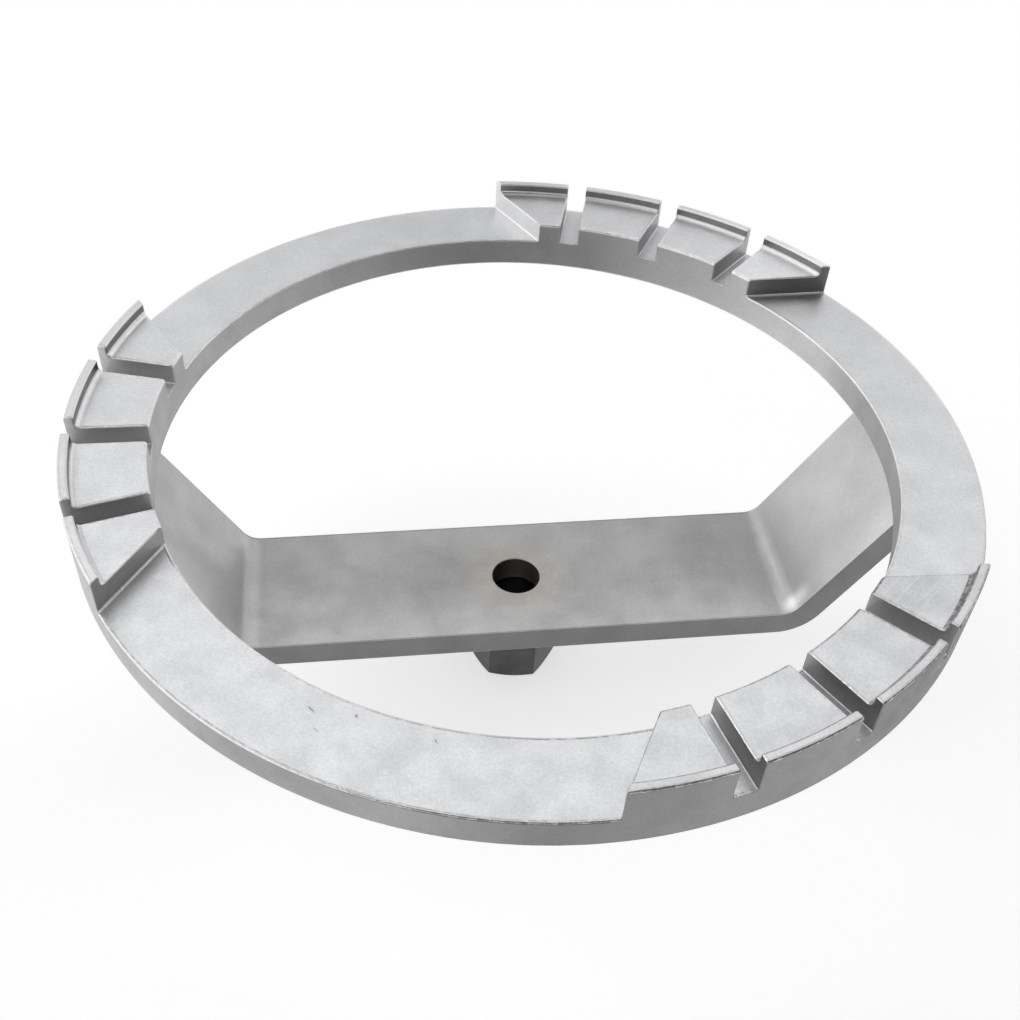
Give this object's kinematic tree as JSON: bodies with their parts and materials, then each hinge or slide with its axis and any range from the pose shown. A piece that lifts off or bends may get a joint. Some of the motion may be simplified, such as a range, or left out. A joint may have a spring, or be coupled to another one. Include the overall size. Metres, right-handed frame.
{
  "type": "fuel tank cap wrench",
  "caption": "Castellated steel ring wrench for a large fuel tank lock ring, carried by a bent flat bar with a hexagonal drive boss.",
  "frame": {"origin": "where the turning axis meets the lower face of the hexagonal boss, which the wrench stands on", "axes": "+Z along the turning axis, from the boss to the teeth; X along the bent flat bar, with one tooth group centred near -X"},
  "size_m": [0.17, 0.17, 0.0685],
  "materials": {
    "machined_steel": "satin silver-grey steel, milled and fine blasted, with lightly broken edges",
    "bar_steel": "satin grey flat bar, slightly clouded, with a faint straw heat tint round the hole",
    "boss_steel": "satin darker grey hexagonal bar",
    "weld_steel": "rippled weld bead, blasted, faintly straw at its edges"
  },
  "bodies": {
    "root": {"tooth_ring": "machined_steel", "bridge_strap": "bar_steel", "drive_boss": "boss_steel", "boss_weld": "weld_steel", "left_inner_weld": "weld_steel", "left_outer_weld": "weld_steel", "right_inner_weld": "weld_steel", "right_outer_weld": "weld_steel"}
  },
  "joints": []
}
